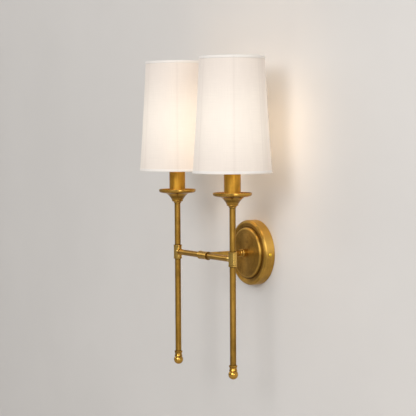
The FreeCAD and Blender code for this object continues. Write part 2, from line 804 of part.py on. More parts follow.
def holderSkirtCorners():
    collar = s.collar_dia / 2
    collarTop = seatLevel + s.collar_height
    pinHole = s.contact_pin_dia / 2 + s.joint_gap
    return [
        (holderInside, capTop),
        (holderRadius, capTop),
        (holderRadius, sleeveTop),
        (s.flange_dia / 2, sleeveTop),
        (s.flange_dia / 2, seatLevel),
        (collar, seatLevel),
        (collar, collarTop - s.collar_edge),
        (collar - s.collar_edge, collarTop),
        (s.socket_bore / 2, collarTop),
        (s.socket_bore / 2, floorTop),
        (pinHole, floorTop),
        (pinHole, floorTop - s.socket_floor),
        (holderInside, floorTop - s.socket_floor),
    ]


lampTip = floorTop + s.contact_height + s.lamp_rest_gap
lampCapFoot = lampTip + s.lamp_tip_height + s.lamp_cone_height
glassFoot = lampCapFoot + s.lamp_cap_height


def glassCorners(w):
    # A flame-shaped bulb whose tip is a small ball centred on the axis. With w it is the
    # space inside, one wall thickness in from the glass.
    belly = s.glass_dia / 2 - w
    neck = s.glass_neck_dia / 2 - w
    tip = s.glass_tip_dia / 2 - w
    tipCentre = s.glass_length - s.glass_tip_dia / 2
    bellyLevel = s.glass_belly_level
    neckLevel = s.glass_neck_length + w * 0.3
    rise = bellyLevel - neckLevel
    fall = s.glass_length - bellyLevel
    neckTop = neck + s.glass_neck_flare
    return [
        (zero, w),
        (neck, w),
        (neckTop, neckLevel, (neckTop + (belly - neckTop) * 0.68, neckLevel + rise * 0.44)),
        (belly, bellyLevel, (belly * 0.9, bellyLevel + fall * 0.37 - w * 0.3)),
        (belly * 0.54, bellyLevel + fall * 0.70 - w * 0.6,
         (belly * 0.36, bellyLevel + fall * 0.86 - w * 0.8)),
        (tip * 0.82, tipCentre + tip * 0.5724, (tip * 0.54, tipCentre + tip * 0.84)),
        (tip * 0.2, tipCentre + tip * 0.9798),
        (zero, tipCentre + tip * 0.9798),
    ]


# The shade is one frustum; all its layers lean by the same slope.
shadeLevel = seatLevel - s.fitter_rise
slope = (s.shade_bottom_dia - s.shade_top_dia) / 2 / s.shade_height
fabricOuter = s.shade_bottom_dia / 2 - s.tape_thick


def leaning(radiusAtBottom, level):
    # radius of a layer of the shade at a level above the shade's bottom
    return radiusAtBottom - slope * level


def shadeCorners():
    inner = fabricOuter - s.shade_wall
    return [
        (inner, zero),
        (fabricOuter, zero),
        (leaning(fabricOuter, s.shade_height), s.shade_height),
        (leaning(inner, s.shade_height), s.shade_height),
    ]


def tapeCorners(low, high):
    outer = s.shade_bottom_dia / 2
    return [
        (leaning(fabricOuter, low), low),
        (leaning(outer, low), low),
        (leaning(outer, high), high),
        (leaning(fabricOuter, high), high),
    ]


ringSpot = fabricOuter - s.shade_wall - s.frame_gap - s.ring_wire / 2
ribSpot = fabricOuter - s.shade_wall - s.frame_gap - s.rib_wire / 2
topRingLevel = s.shade_height - s.ring_inset
fitterLevel = s.fitter_rise


def roundPath(points, radius):
    # straight runs joined by tangent arcs of one radius
    edges = []
    last = points[0]
    for before, corner, after in zip(points, points[1:], points[2:]):
        back = (before - corner).normalize()
        ahead = (after - corner).normalize()
        half = back.getAngle(ahead) / 2
        reach = radius / math.tan(half)
        start = corner + back * reach
        end = corner + ahead * reach
        inward = (back + ahead).normalize()
        middle = corner + inward * (radius / math.sin(half) - radius)
        edges.append(Part.LineSegment(last, start).toShape())
        edges.append(Part.Arc(start, middle, end).toShape())
        last = end
    edges.append(Part.LineSegment(last, points[-1]).toShape())
    return Part.Wire(edges)


def wireShape(side):
    # One wire runs above the stem's axis to the left lamp, the other below it to the right.
    lift = -side * s.wire_lift.value
    gapY = s.bracket_thick.value + s.pole_level.value
    frontY = s.standoff.value
    columnAt = side * (columnX.value + s.wire_outset.value)
    blockFace = s.block_offset.value - s.block_length.value / 2
    entry = blockFace + s.wire_entry.value
    poleZ = -side * s.pole_pitch.value / 2
    points = [
        Vector(-entry, -gapY, poleZ),
        Vector(0, -gapY, lift),
        Vector(0, -frontY, lift),
        Vector(columnAt, -frontY, lift),
        Vector(columnAt, -frontY, (holderFoot + s.wire_top).value),
    ]
    path = roundPath(points, s.wire_bend.value)
    first = path.Edges[0]
    start = first.valueAt(first.FirstParameter)
    section = Part.Circle(start, points[1] - points[0], s.wire_dia.value / 2)
    ring = Part.Wire([section.toShape()])
    return path.makePipeShell([ring], True, False)


for name, side in (("left", -1), ("right", 1)):
    x = columnX * side
    y = -s.standoff
    # arms run from inside the hub to the tee's wall
    armStartX = armStart * side
    armTurn = toLeft if side < 0 else toRight
    tube("arm_" + name, s.arm_dia, s.arm_bore, armLength, armStartX, y, 0, armTurn)

    tee = newBody("tee_" + name)
    revolve(tee, rimmedBarrel(s.tee_dia, s.tee_rim, s.tee_rim_step, s.tee_height), "barrel")
    neckCircle = newSketch(tee, "YZ_Plane", "neck_circle")
    drawCircle(neckCircle, 0, 0, s.tee_neck_dia)
    pad(tee, neckCircle, s.tee_neck_reach, "side_neck")
    port = newSketch(tee, "YZ_Plane", "arm_port_circle")
    drawCircle(port, 0, 0, s.arm_dia + s.joint_gap * 2)
    cutThrough(tee, port, "arm_port", bothWays=False, reverse=True)
    columnBore = newSketch(tee, "XY_Plane", "column_bore_circle")
    drawCircle(columnBore, 0, 0, teeBore * 2)
    cutThrough(tee, columnBore, "column_bore")
    # the neck points inwards, towards the hub
    place(tee, x, y, 0, Rotation(Vector(0, 0, 1), 0 if side < 0 else 180))

    tube("upper_tube_" + name, s.rod_dia, s.rod_bore, tubeTop - tubeStart, x, y, tubeStart)
    rodLow = s.finial_level + s.finial_seat
    tube("lower_rod_" + name, s.rod_dia, s.rod_bore, rodLow - tubeStart, x, y, -rodLow)
    turned("finial_" + name, finialCorners(), x, y, -(s.finial_level + s.finial_height))
    turned("cup_bell_" + name, bellCorners(), x, y, cupLevel)
    turned("drip_pan_" + name, panCorners(), x, y, panLevel)
    hexNut("pan_nut_" + name, s.pan_nut_flats, rodHole * 2, s.pan_nut_height, x, y, panFloor)
    tube("candle_sleeve_" + name, s.sleeve_dia, s.sleeve_dia - s.sleeve_wall * 2,
         s.sleeve_length, x, y, panFloor)

    turned("lampholder_cap_" + name, holderCapCorners(), x, y, 0)
    turned("lampholder_skirt_" + name, holderSkirtCorners(), x, y, 0)
    contacts = newBody("lampholder_contacts_" + name, several=True)
    shellOuter = s.socket_bore / 2 - s.joint_gap
    revolve(contacts, [
        (shellOuter - s.shell_wall, 0),
        (shellOuter, 0),
        (shellOuter, s.shell_length),
        (shellOuter - s.shell_wall, s.shell_length),
    ], "screw_shell")
    revolve(contacts, [
        (zero, -(s.socket_floor + s.contact_pin_length)),
        (s.contact_pin_dia / 2, -(s.socket_floor + s.contact_pin_length)),
        (s.contact_pin_dia / 2, 0),
        (s.contact_dia / 2, 0),
        (s.contact_dia / 2, s.contact_height * 0.6),
        (s.contact_dia / 4, s.contact_height),
        (zero, s.contact_height),
    ], "centre_contact")
    place(contacts, x, y, floorTop)

    footRing = s.lock_ring_dia / 2
    gripRing = s.lock_ring_grip_dia / 2
    turned("shade_lock_ring_" + name, [
        (s.lock_ring_bore / 2, 0),
        (footRing, 0),
        (footRing, s.lock_ring_lip),
        (gripRing, s.lock_ring_lip),
        (gripRing, s.lock_ring_height - s.lock_ring_edge),
        (gripRing - s.lock_ring_edge, s.lock_ring_height),
        (s.lock_ring_bore / 2, s.lock_ring_height),
    ], x, y, seatLevel + s.fitter_thick)

    turned("lamp_cap_" + name, [
        (zero, lampTip),
        (s.lamp_tip_dia / 2 - s.lamp_tip_edge, lampTip),
        (s.lamp_tip_dia / 2, lampTip + s.lamp_tip_height * 0.6),
        (s.lamp_tip_dia / 2, lampTip + s.lamp_tip_height),
        (s.lamp_cap_dia / 2, lampCapFoot),
        (s.lamp_cap_dia / 2, glassFoot),
        (zero, glassFoot),
    ], x, y, 0)
    glass = turned("lamp_glass_" + name, glassCorners(zero), x, y, glassFoot)
    hollow(glass, glassCorners(s.glass_wall), "space")
    filament = newBody("lamp_filament_" + name, several=True)
    revolve(filament, [
        (zero, s.glass_wall),
        (s.glass_neck_dia * 0.3, s.glass_wall),
        (s.pillar_dia / 2, s.glass_wall + s.pillar_foot_height),
        (s.pillar_dia / 2, s.pillar_height),
        (zero, s.pillar_height),
    ], "pillar")
    strip = newSketch(filament, "XY_Plane", "strip_circle", s.pillar_height - s.filament_length)
    drawCircle(strip, s.filament_ring_dia / 2, 0, s.filament_dia)
    stripPad = pad(filament, strip, s.filament_length, "light_strip")
    pattern(filament, stripPad, asSize(4), "light_strips")
    place(filament, x, y, glassFoot)

    # shade: fabric, edge tapes and the wire frame inside it
    turned("shade_" + name, shadeCorners(), x, y, shadeLevel)
    tape = newBody("shade_tape_" + name, several=True)
    revolve(tape, tapeCorners(zero, s.tape_width), "bottom_tape")
    revolve(tape, tapeCorners(s.shade_height - s.tape_width, s.shade_height), "top_tape")
    place(tape, x, y, shadeLevel)
    for ringName, level in (("bottom", s.ring_inset), ("top", topRingLevel)):
        ring = doc.addObject("Part::Torus", "shade_%s_ring_%s" % (ringName, name))
        bind(ring, "Radius1", leaning(ringSpot, level + s.ring_wire / 2))
        bind(ring, "Radius2", s.ring_wire / 2)
        place(ring, x, y, shadeLevel + level)
        subParts.append(ring)

    ribs = newBody("shade_ribs_" + name, several=True)
    ribLow = s.ring_inset + s.ring_wire / 2 + s.frame_gap
    ribHigh = topRingLevel - s.ring_wire / 2 - s.frame_gap
    rib = slantedWire(ribs, "XY_Plane", (leaning(ribSpot, ribLow), zero), ribLow,
                      (leaning(ribSpot, ribHigh), zero), ribHigh, s.rib_wire, "rib")
    pattern(ribs, rib, s.rib_count, "ribs")
    place(ribs, x, y, shadeLevel, Rotation(Vector(0, 0, 1), -90))

    fitter = newBody("shade_fitter_" + name)
    revolve(fitter, [
        (s.fitter_bore / 2, fitterLevel),
        (s.fitter_dia / 2, fitterLevel),
        (s.fitter_dia / 2, fitterLevel + s.fitter_thick),
        (s.fitter_bore / 2, fitterLevel + s.fitter_thick),
    ], "fitter_ring")
    spokeStart = s.fitter_dia / 2 - s.spoke_seat
    spokeEnd = leaning(ringSpot, s.ring_inset) - s.ring_wire / 2 - s.frame_gap
    spokeLevel = fitterLevel + s.fitter_thick - s.spoke_wire / 2
    spoke = slantedWire(fitter, "YZ_Plane", (zero, spokeLevel), spokeStart,
                        (zero, s.ring_inset), spokeEnd, s.spoke_wire, "spoke")
    pattern(fitter, spoke, s.spoke_count, "spokes")
    place(fitter, x, y, shadeLevel, Rotation(Vector(0, 0, 1), 90))

    wire = doc.addObject("Part::Feature", "wire_" + name)
    wire.Shape = wireShape(side)
    subParts.append(wire)

doc.recompute()

# Nothing is written unless every piece is sound.

for thing in doc.Objects:
    if "Invalid" in thing.State or "Error" in thing.State:
        raise RuntimeError("%s failed: %s" % (thing.Label, thing.State))
for part in subParts:
    if part.Shape.isNull() or not part.Shape.isValid() or not part.Shape.Solids:
        raise RuntimeError("%s has no valid shape" % part.Label)

os.makedirs("parts", exist_ok=True)
for part in subParts:
    part.Shape.exportStep("parts/%s.step" % part.Label)
print("%d sub-parts, %d solids" % (len(subParts), sum(len(p.Shape.Solids) for p in subParts)))
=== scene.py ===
import bmesh
import bpy
import math
import numpy as np
from mathutils import Matrix, Vector


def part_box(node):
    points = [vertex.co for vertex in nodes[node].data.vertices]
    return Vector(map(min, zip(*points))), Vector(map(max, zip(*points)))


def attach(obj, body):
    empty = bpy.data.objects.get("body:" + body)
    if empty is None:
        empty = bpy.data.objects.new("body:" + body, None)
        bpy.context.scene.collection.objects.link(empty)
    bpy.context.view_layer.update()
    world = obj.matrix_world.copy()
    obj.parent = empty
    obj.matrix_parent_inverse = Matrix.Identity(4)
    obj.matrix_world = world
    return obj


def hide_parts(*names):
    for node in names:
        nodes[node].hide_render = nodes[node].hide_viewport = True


# Dresses the double arm wall sconce: aged brass, two lit fabric shades, wall and soft light.
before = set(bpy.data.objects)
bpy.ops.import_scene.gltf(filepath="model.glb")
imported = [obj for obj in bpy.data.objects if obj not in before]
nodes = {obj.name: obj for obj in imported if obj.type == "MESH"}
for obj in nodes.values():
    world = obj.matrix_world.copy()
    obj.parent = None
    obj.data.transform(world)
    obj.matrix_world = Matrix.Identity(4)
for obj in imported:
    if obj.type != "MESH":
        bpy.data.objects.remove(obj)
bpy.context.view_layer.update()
print("sconce frame loaded,", len(nodes), "pieces")

sides = {"left": -1, "right": 1}
columns = {"x": 0.094, "y": -0.113}                   # axes of the two candle columns
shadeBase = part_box("shade_left")[0].z                 # level of the shades' lower edge
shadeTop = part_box("shade_left")[1].z


# node helpers
def newGroup(name, inputs, outputs):
    group = bpy.data.node_groups.new(name, "ShaderNodeTree")
    for socketName, kind, value in inputs:
        socket = group.interface.new_socket(socketName, in_out="INPUT", socket_type=kind)
        if value is not None:
            socket.default_value = value
    for socketName, kind in outputs:
        group.interface.new_socket(socketName, in_out="OUTPUT", socket_type=kind)
    return group, group.nodes.new("NodeGroupInput"), group.nodes.new("NodeGroupOutput")


def give(tree, socket, value):
    # another socket is linked, a plain value is set
    if isinstance(value, bpy.types.NodeSocket):
        tree.links.new(value, socket)
    else:
        socket.default_value = value


def math2(tree, operation, a, b=None, clamp=False):
    node = tree.nodes.new("ShaderNodeMath")
    node.operation = operation
    node.use_clamp = clamp
    for index, value in enumerate((a, b)):
        if value is not None:
            give(tree, node.inputs[index], value)
    return node.outputs[0]


def times(tree, a, b):
    return math2(tree, "MULTIPLY", a, b)


def vectorMath(tree, operation, a, b=None):
    node = tree.nodes.new("ShaderNodeVectorMath")
    node.operation = operation
    for index, value in enumerate((a, b)):
        if value is not None:
            give(tree, node.inputs[index], value)
    return node


def splitVector(tree, vector):
    node = tree.nodes.new("ShaderNodeSeparateXYZ")
    tree.links.new(vector, node.inputs[0])
    return node.outputs["X"], node.outputs["Y"], node.outputs["Z"]


def joinVector(tree, x, y, z):
    node = tree.nodes.new("ShaderNodeCombineXYZ")
    for index, value in enumerate((x, y, z)):
        tree.links.new(value, node.inputs[index])
    return node.outputs[0]


def remap(tree, value, low, high, toLow=0.0, toHigh=1.0):
    # eases from one number to the other while the value goes from low to high
    node = tree.nodes.new("ShaderNodeMapRange")
    node.interpolation_type = "SMOOTHSTEP"
    tree.links.new(value, node.inputs["Value"])
    for socketName, number in (("From Min", low), ("From Max", high),
                               ("To Min", toLow), ("To Max", toHigh)):
        node.inputs[socketName].default_value = number
    return node.outputs["Result"]


def noise(tree, vector, scale, detail=2.0, roughness=0.5):
    node = tree.nodes.new("ShaderNodeTexNoise")
    tree.links.new(vector, node.inputs["Vector"])
    node.inputs["Scale"].default_value = scale
    node.inputs["Detail"].default_value = detail
    node.inputs["Roughness"].default_value = roughness
    return node.outputs["Fac"]


def stretch(tree, vector, scale):
    node = tree.nodes.new("ShaderNodeMapping")
    node.inputs["Scale"].default_value = scale
    tree.links.new(vector, node.inputs["Vector"])
    return node.outputs["Vector"]


def mixColour(tree, factor, a, b, blend="MIX"):
    node = tree.nodes.new("ShaderNodeMix")
    node.data_type = "RGBA"
    node.blend_type = blend
    node.clamp_factor = True
    give(tree, node.inputs[0], factor)
    for socket, value in ((node.inputs[6], a), (node.inputs[7], b)):
        give(tree, socket, (*value, 1.0) if isinstance(value, tuple) else value)
    return node.outputs[2]


def newMaterial(name, settings):
    # a material with one Principled shader, its plain values set on the sockets
    material = bpy.data.materials.new(name)
    material.use_nodes = True
    tree = material.node_tree
    shader = tree.nodes["Principled BSDF"]
    for socketName, value in settings.items():
        shader.inputs[socketName].default_value = value
    return material, tree, shader


def objectCoords(tree):
    return tree.nodes.new("ShaderNodeTexCoord").outputs["Object"]


def addBump(tree, shader, height, strength, distance):
    bump = tree.nodes.new("ShaderNodeBump")
    bump.inputs["Strength"].default_value = strength
    bump.inputs["Distance"].default_value = distance
    tree.links.new(height, bump.inputs["Height"])
    tree.links.new(bump.outputs["Normal"], shader.inputs["Normal"])


def useGroup(tree, group, values):
    node = tree.nodes.new("ShaderNodeGroup")
    node.node_tree = group
    for socketName, value in values.items():
        give(tree, node.inputs[socketName], value)
    return node


# aged brass
brass = {
    "pale": (0.73, 0.445, 0.100),                     # rubbed wear and painted highlights
    "body": (0.42, 0.225, 0.034),
    "dark": (0.13, 0.070, 0.012),                     # patina in the recesses and painted shade
    "patina": 0.55, "roughness": 0.30,
    "marks": 0.18, "anisotropy": 0.0,                 # strength of the marks' bump
    "brushed": None,                                  # brush lines per metre along X, Y and Z
    "lines": 1300.0, "linesRound": 1.6,               # turning marks, per metre and round
    "cloud": (40.0, 4.0, 0.66), "cloudSpan": (0.38, 0.72),       # noise of the patina
    "speck": (420.0, 3.0, 0.6), "speckSpan": (0.60, 0.78), "speckDark": 0.35,
    "brush": (1.0, 3.0, 0.65), "brushSpan": (0.46, 0.78, 0.0, 0.55),
    "brushRough": 0.22, "patinaRough": 0.12,          # what each adds to the roughness
    "brushBump": 0.7, "speckBump": 0.3, "bumpDepth": 0.0004,
    "highlightTurn": 0.25,                            # quarter turn, across the marks
}


def agedMetalGroup():
    # cloudy patina and dark specks, with brush lines along the stretched coordinates
    group, given, result = newGroup("agedMetal", [
        ("Position", "NodeSocketVector", None),
        ("Brush", "NodeSocketVector", None),
        ("Pale", "NodeSocketColor", (*brass["pale"], 1)),
        ("Body", "NodeSocketColor", (*brass["body"], 1)),
        ("Dark", "NodeSocketColor", (*brass["dark"], 1)),
        ("Patina", "NodeSocketFloat", brass["patina"]),
        ("Wear And Highlight", "NodeSocketFloat", 0.0),
        ("Patina And Shade", "NodeSocketFloat", 0.0),
        ("Roughness", "NodeSocketFloat", brass["roughness"]),
    ], [("Color", "NodeSocketColor"), ("Roughness", "NodeSocketFloat"),
        ("Height", "NodeSocketFloat")])
    position, patinaAndShade = given.outputs["Position"], given.outputs["Patina And Shade"]
    cloud = noise(group, position, *brass["cloud"])
    speck = noise(group, position, *brass["speck"])
    lines = noise(group, given.outputs["Brush"], *brass["brush"])
    darkening = times(group, remap(group, cloud, *brass["cloudSpan"]), given.outputs["Patina"])
    # the masks' dark is patina and painted shade
    darkening = math2(group, "MAXIMUM", darkening, patinaAndShade)
    colour = mixColour(group, darkening, given.outputs["Body"], given.outputs["Dark"])
    # the masks' pale is rubbed wear and painted highlights
    rub = math2(group, "ADD", remap(group, lines, *brass["brushSpan"]), given.outputs["Wear And Highlight"],
                clamp=True)
    rub = times(group, rub, math2(group, "SUBTRACT", 1.0, patinaAndShade))
    colour = mixColour(group, rub, colour, given.outputs["Pale"])
    specks = times(group, remap(group, speck, *brass["speckSpan"]), brass["speckDark"])
    colour = mixColour(group, specks, colour, given.outputs["Dark"])
    streaks = times(group, math2(group, "SUBTRACT", lines, 0.5), brass["brushRough"])
    rough = math2(group, "ADD", given.outputs["Roughness"], streaks)
    rough = math2(group, "ADD", rough, times(group, darkening, brass["patinaRough"]), clamp=True)
    height = math2(group, "ADD", times(group, lines, brass["brushBump"]),
                   times(group, speck, brass["speckBump"]))
    group.links.new(colour, result.inputs["Color"])
    group.links.new(rough, result.inputs["Roughness"])
    group.links.new(height, result.inputs["Height"])
    return group


def turningGroup():
    # place of a point on a lathe: distance from the axis, level along it, and coordinates
    # that change fast across the turning marks and slowly round the piece;
    # both sides of the sconce share one axis, as X is taken without its sign
    group, given, result = newGroup("turningMarks", [
        ("Position", "NodeSocketVector", None),
        ("Centre", "NodeSocketVector", None),
        ("Axis", "NodeSocketVector", None),
        ("Lines", "NodeSocketFloat", brass["lines"]),
    ], [("Brush", "NodeSocketVector"), ("Radius", "NodeSocketFloat"),
        ("Level", "NodeSocketFloat")])
    axis, lines = given.outputs["Axis"], given.outputs["Lines"]
    x, y, z = splitVector(group, given.outputs["Position"])
    folded = joinVector(group, math2(group, "ABSOLUTE", x), y, z)
    away = vectorMath(group, "SUBTRACT", folded, given.outputs["Centre"]).outputs[0]
    level = vectorMath(group, "DOT_PRODUCT", away, axis).outputs["Value"]
    along = vectorMath(group, "MULTIPLY", away, axis).outputs[0]
    flat = vectorMath(group, "SUBTRACT", away, along).outputs[0]
    radius = vectorMath(group, "LENGTH", flat).outputs["Value"]
    x, y, z = splitVector(group, vectorMath(group, "NORMALIZE", flat).outputs[0])
    turn = math2(group, "ADD", math2(group, "ADD", x, y), z)
    brush = joinVector(group, times(group, radius, lines), times(group, level, lines),
                       times(group, turn, brass["linesRound"]))
    group.links.new(brush, result.inputs["Brush"])
    group.links.new(radius, result.inputs["Radius"])
    group.links.new(level, result.inputs["Level"])
    return group


agedMetal = agedMetalGroup()
turningMarks = turningGroup()


def brassMaterial(name, changes, masks=None, centre=(0, 0, 0), axis=(0, 0, 1)):
    # brass with the given changes, brushed or else turned round the axis through the centre;
    # the masks say where wear and painted highlights make it paler, and patina and painted shade
    # darker
    values = dict(brass, **changes)
    brushed = values["brushed"]
    material, tree, shader = newMaterial(name, {"Metallic": 1.0})
    position = objectCoords(tree)
    lathe = useGroup(tree, turningMarks, {"Position": position, "Centre": centre, "Axis": axis})
    worn = useGroup(tree, agedMetal, {
        "Position": position,
        "Brush": stretch(tree, position, brushed) if brushed else lathe.outputs["Brush"],
        "Pale": (*values["pale"], 1),
        "Body": (*values["body"], 1),
        "Dark": (*values["dark"], 1),
        "Patina": values["patina"],
        "Roughness": values["roughness"],
    })
    if masks:
        wearAndHighlight, patinaAndShade = masks(tree, lathe.outputs["Radius"], lathe.outputs["Level"])
        if wearAndHighlight:
            tree.links.new(wearAndHighlight, worn.inputs["Wear And Highlight"])
        tree.links.new(patinaAndShade, worn.inputs["Patina And Shade"])
    tree.links.new(worn.outputs["Color"], shader.inputs["Base Color"])
    tree.links.new(worn.outputs["Roughness"], shader.inputs["Roughness"])
    addBump(tree, shader, worn.outputs["Height"], values["marks"], values["bumpDepth"])
    if values["anisotropy"]:
        # highlights drawn out across the turning marks
        shader.inputs["Anisotropic"].default_value = values["anisotropy"]
        shader.inputs["Anisotropic Rotation"].default_value = values["highlightTurn"]
        tangent = tree.nodes.new("ShaderNodeTangent")
        tangent.direction_type = "RADIAL"
        tangent.axis = "Y"
        tree.links.new(tangent.outputs["Tangent"], shader.inputs["Tangent"])
    return material


def ringMask(tree, value, middle, halfWidth, most=1.0):
    # most on a ring of the given radius or level, fading to 0 at its half width
    away = math2(tree, "ABSOLUTE", math2(tree, "SUBTRACT", value, middle))
    return remap(tree, away, halfWidth, 0.0, 0.0, most)


def strongest(tree, masks):
    joined = masks[0]
    for mask in masks[1:]:
        joined = math2(tree, "MAXIMUM", joined, mask)
    return joined


plateLooks = {
    "discRing": (0.0448, 0.0034, 1.0),                # radius, half width and strength
    "shoulderRing": (0.0562, 0.0036, 0.5),
    "grooveRing": (0.0478, 0.0024, 0.9),
    "screwRing": (0.0004, 0.0012, 0.95),              # its radius is past the screw's head
    "discFront": (-0.0200, -0.0222),                  # levels between which each comes in
    "shoulderFront": (-0.0145, -0.0175),
    "grooveFloor": (-0.0215, -0.0195),
    "rimSide": (0.0575, 0.0595),                      # radii between which the side comes in
    "discWear": (-0.030, 0.020, 0.45, 1.0),           # two heights and the painted highlight's strength at each
    "sideHighlightByHeight": (-0.012, 0.030, 0.35, 0.95),
}


def plateMasks(tree, radius, level):
    # painted highlights with some burnished wear on the disc's edge, the shoulder and the rim's
    # side, strongest near the top; patina and painted shade in the groove, and patina round the
    # side screws
    looks = plateLooks
    x, y, z = splitVector(tree, objectCoords(tree))
    # painted highlights, graded from the bottom to the top
    disc = times(tree, ringMask(tree, radius, *looks["discRing"]),
                 remap(tree, level, *looks["discFront"]))
    disc = times(tree, disc, remap(tree, z, *looks["discWear"]))
    shoulder = times(tree, ringMask(tree, radius, *looks["shoulderRing"]),
                     remap(tree, level, *looks["shoulderFront"]))
    side = times(tree, remap(tree, radius, *looks["rimSide"]),
                 remap(tree, z, *looks["sideHighlightByHeight"]))
    # patina in the groove, deepened as painted shade
    groove = times(tree, ringMask(tree, radius, *looks["grooveRing"]),
                   remap(tree, level, *looks["grooveFloor"]))
    low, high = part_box("backplate_side_screws")
    screw = (high.x, (low.y + high.y) / 2, (low.z + high.z) / 2)
    folded = joinVector(tree, math2(tree, "ABSOLUTE", x), y, z)
    toScrew = vectorMath(tree, "DISTANCE", folded, screw).outputs["Value"]
    past, halfWidth, most = looks["screwRing"]
    ring = ringMask(tree, toScrew, (high.z - low.z) / 2 + past, halfWidth, most)
    return strongest(tree, [disc, shoulder, side]), strongest(tree, [groove, ring])


lineLooks = {
    "barrelEnd": (0.0009, 0.85),                      # half width and strength
    "barrelStep": (0.0008, 0.6), "stepGap": 0.0002,   # just inside the barrel's rim
    "contact": (0.0017, 0.9), "contactGap": 0.0008,   # just outside the piece it runs into
    "rimShare": 0.6, "rimWear": 0.55,                 # pale part of a barrel's rim
    "teeNeck": 0.0104,                                # end of the arm, from the tee's axis
}


def barrelMasks(halfLength, rim):
    # dark lines where a barrel ends and where its rims step down, rims rubbed pale
    def masks(tree, radius, level):
        out = math2(tree, "ABSOLUTE", level)
        step = halfLength - rim - lineLooks["stepGap"]
        dark = strongest(tree, [ringMask(tree, out, halfLength, *lineLooks["barrelEnd"]),
                                ringMask(tree, out, step, *lineLooks["barrelStep"])])
        pale = ringMask(tree, out, halfLength - rim / 2, rim * lineLooks["rimShare"],
                        lineLooks["rimWear"])
        return pale, dark
    return masks


def contactMasks(levels):
    # a dark line on a tube at each of the levels
    def masks(tree, radius, level):
        return None, strongest(tree, [ringMask(tree, level, value, *lineLooks["contact"])
                                      for value in levels])
    return masks


columnLooks = {
    # distance up from the named end of the piece, half width and strength
    "finialTop": ((-0.0030, 0.0009, 0.7), (-0.0098, 0.0011, 0.8)),
    # the bell's third ring lies in its hollow: patina and painted shade
    "bellFoot": ((0.0056, 0.0010, 0.8), (0.0020, 0.0009, 0.6), (0.0115, 0.0065, 0.75)),
    "bellTop": (0.0, 0.0011, 0.8),
    "finialBallHighlight": (0.009, 0.006, 0.35),
    "underPan": (0.0030, 0.0012), "underPanShadow": 0.6,   # levels above the pan's lowest one, and the painted shadow's strength
    "panFloor": (0.0205, 0.0225), "panRim": (0.0318, 0.0340),    # radii
    "panLip": 0.003, "panRimHighlight": 0.6,
}


def columnMasks(tree, radius, level):
    # dark lines in the finial's neck and at the bell's foot, patina and painted shade in the
    # bell's hollow, painted shadow under the pan, painted highlights on the finial's ball and the
    # pan's rim
    looks = columnLooks
    finial, bell, pan = (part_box(name + "_left") for name in ("finial", "cup_bell", "drip_pan"))

    def ringAt(end, up, halfWidth, most):
        return ringMask(tree, level, end + up, halfWidth, most)

    dark = [ringAt(finial[1].z, *ring) for ring in looks["finialTop"]]
    dark += [ringAt(bell[0].z, *ring) for ring in looks["bellFoot"]]
    dark.append(ringAt(bell[1].z, *looks["bellTop"]))
    # painted shadow under the pan
    start, full = (pan[0].z + up for up in looks["underPan"])
    dark.append(times(tree, remap(tree, level, start, full, 0.0, looks["underPanShadow"]),
                      remap(tree, radius, *looks["panFloor"])))
    # painted highlight on the pan's rim
    panRim = times(tree, remap(tree, radius, *looks["panRim"]),
                   remap(tree, level, pan[0].z + looks["panLip"], pan[1].z))
    # painted highlight round the finial's ball
    ball = ringAt(finial[0].z, *looks["finialBallHighlight"])
    return strongest(tree, [times(tree, panRim, looks["panRimHighlight"]), ball]), strongest(tree, dark)


finishes = {                                          # what each finish changes in the brass
    "turned": {"roughness": 0.19, "marks": 0.05, "body": (0.49, 0.265, 0.044)},
    "tee": {"roughness": 0.18, "marks": 0.04, "patina": 0.2, "body": (0.72, 0.47, 0.12),
            "brushed": (700, 700, 30)},
    "hub": {"roughness": 0.26, "marks": 0.03, "patina": 0.3, "body": (0.53, 0.305, 0.058),
            "brushed": (30, 700, 700)},
    "boss": {"roughness": 0.32, "marks": 0.04, "body": (0.56, 0.35, 0.08)},
    "rod": {"roughness": 0.42, "patina": 0.6, "body": (0.335, 0.182, 0.030),
            "brushed": (900, 900, 14)},
    "bar": {"brushed": (14, 900, 900)},
    "plate": {"roughness": 0.42, "marks": 0.12, "patina": 0.7, "body": (0.40, 0.212, 0.034),
              "anisotropy": 0.8},
    # the sleeves' brighter, more orange brass is painted warm light from the lamps
    "sleeve": {"roughness": 0.42, "marks": 0.09, "patina": 0.35, "body": (0.55, 0.285, 0.036),
               "pale": (0.73, 0.44, 0.085), "brushed": (900, 900, 20)},
    "screw": {"roughness": 0.5, "patina": 0.05, "body": (0.95, 0.68, 0.07),
              "pale": (0.98, 0.78, 0.16), "brushed": (200, 200, 200)},
}
barrelRims = {"tee": 0.0026, "hub": 0.0022}           # length of the rim at each end
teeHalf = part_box("tee_left")[1].z
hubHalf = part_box("hub")[1].x
column = (columns["x"], columns["y"], 0.0)
crossbar = (0.0, columns["y"], 0.0)
plateCentre = (0.0, 0.0, 0.0)
across, outward = (1, 0, 0), (0, 1, 0)                # axes of the crossbar and of the plate
rodEnds = [teeHalf + lineLooks["contactGap"], -teeHalf - lineLooks["contactGap"],
           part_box("finial_left")[1].z + lineLooks["contactGap"],
           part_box("cup_bell_left")[0].z - lineLooks["contactGap"]]
armEnds = [hubHalf + lineLooks["contactGap"], columns["x"] - lineLooks["teeNeck"]]
sleeveEnds = [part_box("candle_sleeve_left")[0].z]

